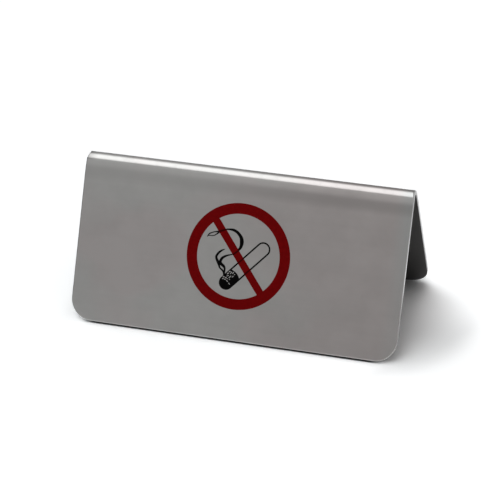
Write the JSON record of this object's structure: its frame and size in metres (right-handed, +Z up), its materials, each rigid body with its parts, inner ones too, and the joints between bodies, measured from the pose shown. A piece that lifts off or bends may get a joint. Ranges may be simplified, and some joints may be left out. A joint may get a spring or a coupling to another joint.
{
  "type": "no smoking sign",
  "caption": "Tent-shaped table sign folded from brushed steel sheet, with a printed red ring and bar over a lit cigarette on its front face.",
  "frame": {"origin": "on the table, at the middle of the footprint: midway between the two standing edges and between the two ends of the fold", "axes": "+X along the fold, to the right of someone who reads the sign; +Y from the printed face to the bare rear face; +Z up"},
  "size_m": [0.12, 0.0582, 0.0536],
  "materials": {
    "brushed_sheet": "fine satin brushing along the fold, outer edges broken smooth",
    "red_ink": "thin matt screen ink, opaque dark red",
    "black_ink": "thin matt screen ink, opaque black"
  },
  "bodies": {
    "root": {"folded_sheet": "brushed_sheet", "red_print": "red_ink", "black_print": "black_ink"}
  },
  "joints": []
}
